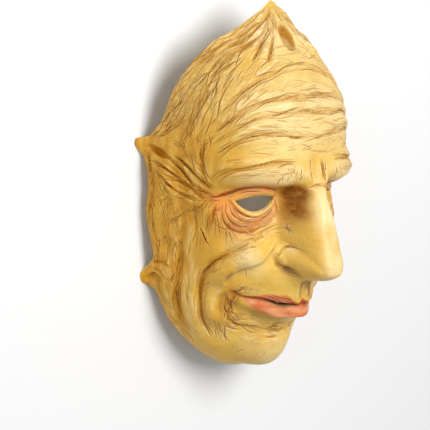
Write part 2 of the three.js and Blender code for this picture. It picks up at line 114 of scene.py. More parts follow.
FURROWS = [
    [(79, 15), (73.5, 24), (64.5, 29), (55.5, 31), (42.5, 33.5), (29, 35.5), (14, 34.5)],
    [(76, 41), (52, 54), (30, 55), (14, 53), (0, 52)],
    [(80, 48), (49, 66), (25, 68), (10, 69), (0, 69)],
    [(78, 57), (51, 73), (25, 79), (0, 80)],
    [(74, 70), (52, 86), (26, 97), (0, 101)],
]

# Swellings and hollows of the forms: height, middle, half sizes, turn in degrees and power
SWELLINGS = [
    # Eye socket, lids and the socket's inner corner
    (-8, (38, 3), (34, 19)), (7, (42, 1), (25, 17)), (-7, (15, 8), (14, 19)),
    # Cheekbone, round of the cheek, hollow cheek and temple
    (3.5, (62, -16), (40, 20), 20), (3, (38, -36), (26, 18), 35), (-5, (92, -48), (30, 44)),
    (-4, (100, 22), (30, 26)),
    # Side of the forehead, and its fall toward the crest
    (6, (56, 74), (46, 50)), (-6.5, (34, 133), (28, 20)),
    # Corner of the mouth, muzzle, channel below the nose and the lower lip's pout
    (-3, (42.5, -69.5), (6, 5.5)), (-2, (52, -57), (4, 9)), (9.5, (0, -60), (25, 34)),
    (-3, (27, -84), (19, 40)), (-3, (0, -54), (3.4, 10)), (1.6, (4.8, -55), (3, 11)),
    (2.5, (16, -74), (13, 7)),
    # Ball of the chin and the hollows around it
    (9.5, (0, -101), (27, 23)), (-2.6, (0, -83), (28, 10)), (-3.5, (42, -101), (15, 12)),
    (-2, (28, -95), (10, 8)),
    # Wing, bulb and nostril of the nose
    (10, (16.5, -32.5), (10, 9), 0, 0.6), (2.2, (6, -26), (9, 9)), (-1.5, (14, -24), (5, 8)),
    (-4, (10, -41), (7, 5)),
    # Points of the rim at crest, temple and jaw, with the dents of the last two
    (4, (0, 149), (14, 14)), (6, (163, 52), (26, 20)), (-5.5, (132, 43), (15, 6), 27, 0.6),
    (7, (112, -106), (20, 16)), (-5, (99, -98), (9, 5.5), -30, 0.7),
]

# The camera in the face's frame: turned, raised and rolled, with the frame's origin at the brow's pixel
CAMERA_TURN, CAMERA_RISE, CAMERA_ROLL = math.radians(44), math.radians(15.5), math.radians(8)
CAMERA_DISTANCE = 1500
PIXELS_PER_MM = 1.40
BROW_PIXEL = (315, 176)
FRAME_PIXELS = 430
SENSOR = 36

# Two broad lamps: name, distance, way to the camera's right, up and back, width and power
LAMPS = [("key", 1.1, (0.62, 0.22, 0.75), 0.7, 12), ("fill", 1.3, (-0.40, 0.1, 0.9), 1.0, 2.5)]
LIT_POINT = (0, 0, 0.06)
SURROUND = 0.38
FLOOR_SIZE = 8
FLOOR_COLOUR = (0.86, 0.86, 0.86, 1)


def smooth(x):
    x = np.clip(x, 0, 1)
    return x * x * (3 - 2 * x)


def bell(x):
    return np.exp(-x * x)


def curve(points):
    """A smooth curve through points, as a function of their first number."""
    p = np.array(sorted(points), float)
    x, y = p[:, 0], p[:, 1]
    gap = np.diff(x)
    slope = np.diff(y) / gap
    tangent = np.empty(len(x))
    tangent[0], tangent[-1] = slope[0], slope[-1]
    tangent[1:-1] = (slope[:-1] * gap[1:] + slope[1:] * gap[:-1]) / (gap[:-1] + gap[1:])

    def at(t):
        t = np.clip(t, x[0], x[-1])
        i = np.clip(np.searchsorted(x, t) - 1, 0, len(x) - 2)
        w = (t - x[i]) / gap[i]
        start = (1 + 2 * w) * (1 - w) ** 2 * y[i] + w * (1 - w) ** 2 * gap[i] * tangent[i]
        end = w * w * (3 - 2 * w) * y[i + 1] + w * w * (w - 1) * gap[i] * tangent[i + 1]
        return start + end

    return at


def stroke(points, steps=24):
    """The points of a smooth line through a few given places on the map."""
    p = np.array(points, float)
    last = len(p) - 1
    t = np.linspace(0, last, steps + 1)
    i = np.minimum(t.astype(int), last)
    w = (t - i)[:, None]
    before, here = p[np.maximum(i - 1, 0)], p[i]
    after, beyond = p[np.minimum(i + 1, last)], p[np.minimum(i + 2, last)]
    start, end = (after - before) / 2, (beyond - here) / 2
    cubic = (2 * here - 2 * after + start + end) * w**3 + (3 * after - 3 * here - 2 * start - end) * w**2
    return cubic + start * w + here


def beside(line, u, v):
    """Distance from a line, positive on its left, and the share of its length there."""
    step = np.diff(line, axis=0)
    length = np.hypot(step[:, 0], step[:, 1])
    run = np.concatenate([[0], np.cumsum(length)])
    best = np.full(np.shape(u), np.inf)
    side = np.zeros(np.shape(u))
    share = np.zeros(np.shape(u))
    for k in range(len(step)):
        su, sv = step[k] / length[k]
        du, dv = u - line[k, 0], v - line[k, 1]
        t = np.clip(du * su + dv * sv, 0, length[k])
        eu, ev = du - t * su, dv - t * sv
        far = np.hypot(eu, ev)
        near = far < best
        best = np.where(near, far, best)
        side = np.where(near, np.where(su * ev - sv * eu >= 0, far, -far), side)
        share = np.where(near, (run[k] + t) / run[-1], share)
    return side, share


def swelling(u, v, at, size, turn=0, power=1):
    """A round swelling of 1 at its middle, blunter for a lower power."""
    c, s = math.cos(math.radians(turn)), math.sin(math.radians(turn))
    x = (c * (u - at[0]) + s * (v - at[1])) / size[0]
    y = (c * (v - at[1]) - s * (u - at[0])) / size[1]
    return (np.maximum(0, 1 - x * x - y * y) ** 2) ** power


def swellings(u, v, table):
    return sum(height * swelling(u, v, *shape) for height, *shape in table)


def faded(share, start, end):
    """1 along a line, falling to 0 over a share of it at each end."""
    return smooth(share / start) * smooth((1 - share) / end)


def groove(line, width, depth, lip, fade, u, v):
    side, share = beside(line, u, v)
    x = side / width
    return faded(share, fade, fade) * (lip * bell((np.abs(x) - 1.9) / 1.1) - depth * bell(x))


profile_radius = curve([
    (math.atan2(y - HEAD[1], z - HEAD[2]), math.hypot(y - HEAD[1], z - HEAD[2])) for y, z in PROFILE
])
nose_height = curve(NOSE_HEIGHT)
nose_width = curve(NOSE_WIDTH)
nose_ridge = curve(NOSE_RIDGE)
lip_level = curve(LIP_LINE)


def direction(u, v):
    far = np.hypot(u, v)
    k = np.where(far > 1e-9, np.sin(far / MAP_RADIUS) / np.maximum(far, 1e-9), 1 / MAP_RADIUS)
    return np.stack([k * u, k * v, np.cos(far / MAP_RADIUS)], -1)


def head_radius(u, v):
    d = direction(u, v)
    upright = np.hypot(d[..., 1], d[..., 2]) / profile_radius(np.arctan2(d[..., 1], d[..., 2]))
    sideways = np.abs(d[..., 0]) / HALF_WIDTH
    return (upright**SQUARENESS + sideways**SQUARENESS) ** (-1 / SQUARENESS)


def brow_ridge(a, v):
    side, share = beside(stroke(BROW), a, v)
    across = np.where(side >= 0, bell(side / 12), np.exp(-((side / 9.5) ** 4)))
    along = (3.5 + 5.5 * np.sin(math.pi * np.minimum(share * 1.05, 1))) * smooth(share / 0.12 + 0.3)
    return across * along * smooth((1 - share) / 0.3)


def cheek_overlap(a, v):
    side, share = beside(stroke(CHEEK_FOLD), a, v)
    rise = 1 / (1 + np.exp(np.clip(4 * side / 5, -30, 30)))
    fall = np.where(side < 0, bell(side / 18), 1)
    return faded(share, 0.3, 0.25) * (4.5 * rise * fall - 2 * bell((side - 1.5) / 5))


def lips(a, v):
    d = -beside(stroke(LIP_LINE), a, v)[0]
    middle = np.maximum(0, 1 - (a / 41) ** 2) ** 0.8
    upper = 1.8 * bell((d - 3) / 3) + 0.6 * bell((d - 6.4) / 1.6)
    lower = 6.2 * bell((d + 5.8) / 4.8)
    parting = -1.6 * smooth((45 - a) / 10) * bell(d / 1.7)
    return middle * (upper + lower) + parting


def nose(a, v):
    width, ridge = nose_width(v), nose_ridge(v)
    out = (np.hypot(a, ridge) - ridge) / (np.hypot(width, ridge) - ridge)
    bridge = nose_height(v) * np.cos(math.pi / 2 * np.clip(out, 0, 1)) ** 2.6
    return bridge + groove(stroke(WING_CREASE), 1.8, 2.8, 0.3, 0.15, a, v)


def crest_drop(a, v):
    """The drop-shaped dent below the crest's tip, wider toward its lower end."""
    width = 3.4 + 0.15 * np.clip(137 - v, 0, 20)
    return -7 * swelling(a, v, (0, 124.5), (width, 12), 0, 0.5)


def form_radius(u, v):
    """Radial distance of the forms that both faces of the wall follow."""
    a = np.abs(u)
    relief = brow_ridge(a, v) + cheek_overlap(a, v) + lips(a, v) + nose(a, v) + crest_drop(a, v)
    hollow = groove(stroke(CHEEK_HOLLOW), 3.2, 3.2, 1.3, 0.2, a, v)
    return head_radius(u, v) + relief + hollow + swellings(a, v, SWELLINGS)


def inside_radius(u, v):
    """Radial distance of the inside, a wall's thickness in, measured square to the surface."""
    h = 1
    radius = form_radius(u, v)
    along_u = (form_radius(u + h, v) - form_radius(u - h, v)) / (2 * h)
    along_v = (form_radius(u, v + h) - form_radius(u, v - h)) / (2 * h)
    slope = np.hypot(along_u, along_v) * MAP_RADIUS / radius
    return radius - WALL * np.minimum(np.sqrt(1 + slope * slope), STEEPEST_WALL)


def eye_bag(t):
    """A line around the lower lid: along the lid's own edge at 0, along the end of the bags at 1."""
    return [(u + t * (far_u - u), v + t * (far_v - v)) for (u, v), (far_u, far_v) in zip(LID_EDGE, BAG_EDGE)]


# The wrinkles that the solid has too, on one side: line, width, depth, lip and fade
WRINKLES = [
    *((row, 2.4, 1.2, 0.7, 0.25) for row in FURROWS),
    ([(5.4, 36), (5.8, 28), (4.4, 20)], 1.4, 0.9, 0.4, 0.22),
    ([(10, 17), (0, 19), (-10, 17)], 1.8, 1.4, 0.5, 0.22),
    *((eye_bag(t), 1.5, 1.2, 0.7, 0.25) for t in (0.1, 0.38, 0.66, 0.94)),
    (LID_FOLD, 1.8, 1.8, 0.6, 0.22),
    *((fold, 1.5, 1.2, 0.6, 0.22) for fold in TEMPLE_FOLDS),
    *((fold, 2.0, 1.5, 1.0, 0.2) for fold in CREST_FOLDS),
    ([(87, 50), (87.5, 40), (87, 30), (84, 18)], 2.6, 1.4, 0.6, 0.3),
    (JAW_VALLEY, 3.6, 1.8, 0.9, 0.25),
    ([(98, -24), (94, -42), (91, -60)], 3.0, 1.2, 0.8, 0.3),
    ([(80, -58), (75, -70), (70, -82), (62, -93), (52, -101)], 2.6, -1.3, -0.2, 0.3),
    ([(109, -88), (101, -81), (92, -79)], 1.7, 1.1, 0.6, 0.25),
    ([(105, -92), (98, -89), (90, -92)], 1.7, 1.0, 0.6, 0.25),
    ([(33, -95), (24, -93), (12, -89.5), (0, -88), (-12, -89.5)], 2.2, 0.9, 0.6, 0.22),
    ([(47, -70), (49, -79), (46, -89)], 2.4, 1.2, 0.6, 0.25),
]


def rim_margin(u, v):
    a = np.abs(u)
    reads = np.array([beside(stroke(points, 32), a, v)[0] for points in RIM])
    far = np.abs(reads)
    order = np.argsort(far, axis=0)
    nearest = np.take_along_axis(far, order[:2], axis=0)
    sides = np.take_along_axis(reads, order[:2], axis=0)
    at_corner = nearest[1] - nearest[0] < 1e-6
    outside = (sides[0] > 0) | (at_corner & (sides[1] > 0))
    return np.where(outside, -nearest[0], nearest[0])


def eye_margin(u, v):
    a = np.abs(u)
    arch = 1 - ((a - EYE["u"]) / EYE["half"]) ** 2
    rise = v - EYE["v"] - EYE["slant"] * (a - EYE["u"])
    return np.maximum(rise - EYE["lift"] * arch, -rise - EYE["drop"] * arch)


def mouth_margin(u, v):
    a = np.abs(u)
    x = (a - MOUTH["middle"]) / MOUTH["half"]
    return np.abs(v - lip_level(a)) - MOUTH["gap"] * (1 - x * x)


def margin(u, v):
    """How far a place is inside the latex, negative beyond the rim or in an opening."""
    return np.minimum(rim_margin(u, v), np.minimum(eye_margin(u, v), mouth_margin(u, v)))


def lines_outward(start, end, step=lambda x: FACE_STEP):
    found = []
    x = start
    while abs(x - start) < abs(end - start):
        found.append(x)
        x += math.copysign(step(x), end - start)
    return found


def grid_of(share):
    """Every share-th grid line, so that both sheets have the lines through the nose and the mouth."""
    side_step = lambda u: FACE_STEP + SIDE_GROWTH * max(0, u - SIDE_START)
    right = lines_outward(0, TEMPLE_EDGE[1][0] + FACE_STEP, side_step)[::share]
    up = lines_outward(MOUTH["v"], CREST_POINT[1] + FACE_STEP)[::share]
    down = lines_outward(MOUTH["v"], CHIN_POINT[1] - FACE_STEP)[::share]
    return np.array([-u for u in right[:0:-1]] + right), np.array(down[:0:-1] + up)


def bent(u, v):
    """Where a row of the grid runs: it bends with the lips, so that one row goes along the mouth."""
    return v + (lip_level(np.abs(u)) - MOUTH["v"]) * bell((v - MOUTH["v"]) / MOUTH["reach"])


def between(x, a, b, t):
    return x[a] + t * (x[b] - x[a])


def crossings(u, v, m, a, b):
    """Shares of the edges from a to b at which the margin runs out."""
    low, high = np.zeros(len(a)), np.ones(len(a))
    inside = m[a] > 0
    for _ in range(14):
        t = (low + high) / 2
        same = (margin(between(u, a, b, t), between(v, a, b, t)) > 0) == inside
        low, high = np.where(same, t, low), np.where(same, high, t)
    return low


def edges_of(triangles):
    pairs = np.concatenate([triangles[:, [0, 1]], triangles[:, [1, 2]], triangles[:, [2, 0]]])
    return np.unique(np.sort(pairs, axis=1), axis=0)


def sheet(us, vs):
    """One sheet of triangles on the map, trimmed where the margin runs out."""
    uu, vv = np.meshgrid(us, vs)
    u, v = uu.ravel(), bent(uu, vv).ravel()
    m = margin(u, v)
    ids = np.arange(len(u)).reshape(uu.shape)
    c0, c1, c2, c3 = ids[:-1, :-1].ravel(), ids[:-1, 1:].ravel(), ids[1:, 1:].ravel(), ids[1:, :-1].ravel()
    turned = ((u[c0] + u[c2]) > 0) == ((v[c0] + v[c2]) > 2 * EYE["v"])
    first = np.where(turned[:, None], np.stack([c1, c2, c3], 1), np.stack([c0, c1, c2], 1))
    second = np.where(turned[:, None], np.stack([c1, c3, c0], 1), np.stack([c0, c2, c3], 1))
    triangles = np.concatenate([first, second])
    triangles = triangles[(m[triangles] > -2 * FACE_STEP * INSIDE_SHARE).any(axis=1)]

    # Grid points close to the edge move onto it, so that no sliver is cut
    e = edges_of(triangles)
    e = e[(m[e[:, 0]] > 0) != (m[e[:, 1]] > 0)]
    t = crossings(u, v, m, e[:, 0], e[:, 1])
    mover = np.where(t < 0.5, e[:, 0], e[:, 1])
    other = np.where(t < 0.5, e[:, 1], e[:, 0])
    share = np.minimum(t, 1 - t)
    order = np.argsort(-share)
    order = order[share[order] < SNAP]
    target = np.full((len(u), 2), np.nan)
    to = np.stack([between(x, mover, other, share) for x in (u, v)], 1)
    target[mover[order]] = to[order]
    moved = ~np.isnan(target[:, 0])
    u[moved], v[moved], m[moved] = target[moved, 0], target[moved, 1], 0

    e = edges_of(triangles)
    e = e[m[e[:, 0]] * m[e[:, 1]] < 0]
    t = np.clip(crossings(u, v, m, e[:, 0], e[:, 1]), SNAP / 2, 1 - SNAP / 2)
    cut = {(int(a), int(b)): len(u) + k for k, (a, b) in enumerate(e)}
    u, v = (np.concatenate([x, between(x, e[:, 0], e[:, 1], t)]) for x in (u, v))

    signs = np.sign(m[triangles])
    whole = (signs >= 0).all(axis=1) & (signs > 0).any(axis=1)
    kept = triangles[whole].tolist()
    partial = (signs > 0).any(axis=1) & (signs < 0).any(axis=1)
    for triangle in triangles[partial].tolist():
        ring = []
        for k in range(3):
            a, b = triangle[k], triangle[(k + 1) % 3]
            if m[a] >= 0:
                ring.append(a)
            if m[a] * m[b] < 0:
                ring.append(cut[(a, b) if a < b else (b, a)])
        kept += [[ring[0], ring[k], ring[k + 1]] for k in range(1, len(ring) - 1)]
    return u, v, kept


def loops(triangles):
    """Closed loops of the edges that only one triangle has."""
    directed = {(t[k], t[(k + 1) % 3]) for t in triangles for k in range(3)}
    after = {a: b for a, b in sorted(directed) if (b, a) not in directed}
    found = []
    while after:
        loop = []
        at = next(iter(after))
        while at in after:
            loop.append(at)
            at = after.pop(at)
        found.append(loop)
    return sorted(found, key=len, reverse=True)


def sharpen(u, v, edge):
    """The nearest edge point of a sheet moves onto each corner of the rim."""
    free = list(edge)
    for cu, cv in [CREST_POINT, *TEMPLE_EDGE, *JAW_EDGE]:
        for side in (-1, 1) if cu > 0 else (1,):
            nearest = min(free, key=lambda k: math.hypot(u[k] - side * cu, v[k] - cv))
            u[nearest], v[nearest] = side * cu, cv
            free.remove(nearest)


def lay_down(u, v, radius):
    """Where places lie when the mask rests on the four points of its rim."""
    p = direction(u, v) * radius[:, None] + HEAD
    c, s = math.cos(LYING_TILT), math.sin(LYING_TILT)
    y = p[:, 1] * c - p[:, 2] * s
    z = p[:, 1] * s + p[:, 2] * c + REST_DEPTH
    return np.stack([p[:, 0], y, np.maximum(z, 0)], 1)


def band(outer, inner, places):
    """Triangles between an edge of the outside and the same edge of the inside, paired on the map."""
    away = lambda a, b: math.dist(places[a], places[b])
    start = min(range(len(inner)), key=lambda i: away(outer[0], inner[i]))
    inner = inner[start:] + inner[:start]
    found = []
    i = j = 0
    while i < len(outer) or j < len(inner):
        a, b = outer[i % len(outer)], inner[j % len(inner)]
        next_a, next_b = outer[(i + 1) % len(outer)], inner[(j + 1) % len(inner)]
        if j >= len(inner) or (i < len(outer) and away(next_a, b) <= away(a, next_b)):
            found.append([next_a, a, b])
            i += 1
        else:
            found.append([b, next_b, a])
            j += 1
    return found


# A stroke acts within its reach and fades at its ends. Points without one keep the far value.
# It takes the layer in which the fewest points that it paints are near another stroke.
LAYERS = 6
STROKE_REACH = 3.2
STROKE_FADE = 0.35
FAR = 9.0
LAYER_FREE, PAINT_REACH = 1.6, 2.2
DEEPEST, HIGHEST = -1.3, 0.7
EDGE_FADE = 2.0

# Widths and depths of strokes, in millimetres
FINE, MEDIUM, WIDE, NARROW = (0.28, 0.48), (0.4, 0.7), (0.35, 0.6), (0.32, 0.56)
DEEP, SHALLOW = (0.35, 0.8), (0.15, 0.4)


class Sculpt:
    """Scratches and folds, drawn stroke by stroke on the outside's points.

    Each stroke sinks the surface softly. Its sharp middle is kept as the signed distance from it, in one of
    a few layers in which strokes keep clear of each other, for the paint to draw finer than the mesh."""

    def __init__(self, u, v, seed):
        self.u, self.v = u, v
        self.height = np.zeros(len(u))
        self.wash_and_shade = np.zeros(len(u))
        self.off = np.full((LAYERS, len(u)), FAR)
        self.far = np.full((LAYERS, len(u)), FAR)
        self.strength = np.zeros((LAYERS, len(u)))
        self.rng = np.random.default_rng(seed)

    def draw(self, line, width, depth, dark):
        low, high = line.min(axis=0) - STROKE_REACH, line.max(axis=0) + STROKE_REACH
        inside = (self.u > low[0]) & (self.u < high[0]) & (self.v > low[1]) & (self.v < high[1])
        near = np.flatnonzero(inside)
        if len(near) == 0:
            return
        side, share = beside(line, self.u[near], self.v[near])
        ends = faded(share, STROKE_FADE, STROKE_FADE)
        x = side / max(width * 1.3, 0.55)
        self.height[near] += depth * ends * (0.35 * bell((np.abs(x) - 1.8) / 0.9) - bell(x))
        # Wash and painted shade in the stroke's groove
        self.wash_and_shade[near] = np.maximum(self.wash_and_shade[near], 0.3 * dark * ends * bell(x))
        far = np.abs(side)
        layer = np.argmin(((far < PAINT_REACH) * (self.far[:, near] < LAYER_FREE)).sum(axis=1))
        nearer = far < self.far[layer, near]
        chosen = near[nearer]
        # The sharp middle, which the paint draws as a dark line of wash and painted shade of a groove finer
        # than the mesh
        self.far[layer, chosen] = far[nearer]
        self.off[layer, chosen] = side[nearer] / width
        self.strength[layer, chosen] = (dark * ends * smooth((1.5 - far) / 0.6))[nearer]

    def bundle(self, guide, spread, count, length, drift, dark=0.9, depth=DEEP, width=FINE):
        """Strokes that follow a guide line loosely, each on its own stretch of it, on both sides."""
        base = stroke(guide, 40)
        step = np.diff(base, axis=0)
        run = np.concatenate([[0], np.cumsum(np.hypot(step[:, 0], step[:, 1]))])
        tangent = np.gradient(base, axis=0)
        tangent /= np.hypot(tangent[:, 0], tangent[:, 1])[:, None]
        normal = np.stack([-tangent[:, 1], tangent[:, 0]], 1)
        for mirror in [-1] * count + [1] * count:
            long = self.rng.uniform(*length)
            start = self.rng.uniform(-0.1 * run[-1], max(run[-1] - 0.7 * long, 0.1))
            s = np.linspace(max(start, 0), min(start + long, run[-1]), max(5, int(long / 2)))
            lean = self.rng.normal(0, 0.7 * drift) * (s - s.mean())
            wave = 0.014 * long * np.sin(s * self.rng.uniform(0.12, 0.3) + self.rng.uniform(0, 6.3))
            off = np.clip(self.rng.normal(0, 0.5), -1.3, 1.3) * spread + lean + wave
            places = [np.interp(s, run, base[:, k]) + off * np.interp(s, run, normal[:, k]) for k in (0, 1)]
            line = np.stack(places, 1) * (mirror, 1)
            strength = self.rng.uniform(0.35, 1)
            self.draw(line, self.rng.uniform(*width), strength * self.rng.uniform(*depth), dark * strength)


# Guides that the strokes and the fine grain share
CREST_SLOPE = [(150, 57), (120, 84), (95, 111), (60, 127), (25, 137), (5, 142)]
SIDE_RIM = [(146, 22), (138, -5), (132, -38), (117, -60), (106, -76)]
ABOVE_LIP = [(44, -62), (34, -62), (20, -61), (6, -60)]

